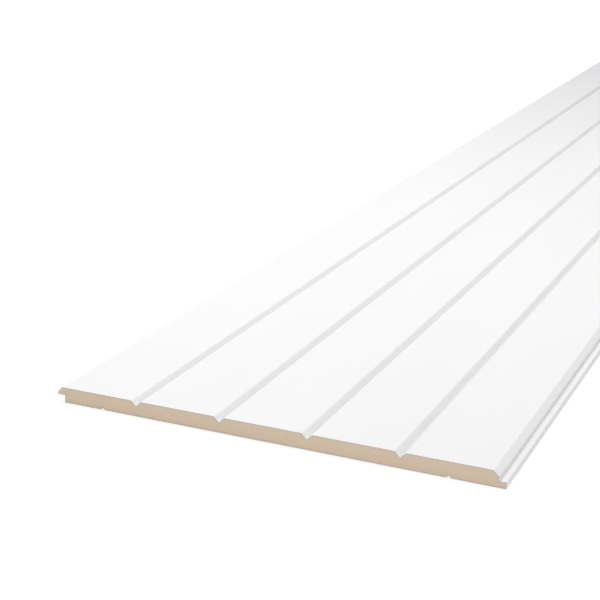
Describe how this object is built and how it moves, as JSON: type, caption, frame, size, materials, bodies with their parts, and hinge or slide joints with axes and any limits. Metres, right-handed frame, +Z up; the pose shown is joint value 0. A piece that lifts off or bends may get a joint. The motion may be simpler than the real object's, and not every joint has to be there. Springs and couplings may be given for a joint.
{
  "type": "v-grooved mdf panel",
  "caption": "White-primed MDF wall panel with long V-grooves in its face, a lip and a tongue that half-lap with the next panel along its long edges, and a flat back to fix to a wall.",
  "frame": {"origin": "middle of the underside, on the surface that the panel lies on", "axes": "+X across the boards towards the tongue edge, +Y along the grooves, +Z up through the painted face"},
  "size_m": [0.3408, 2.44, 0.012],
  "materials": {
    "white_primer": "satin"
  },
  "bodies": {
    "root": {"grooved_panel": "white_primer"}
  },
  "joints": []
}
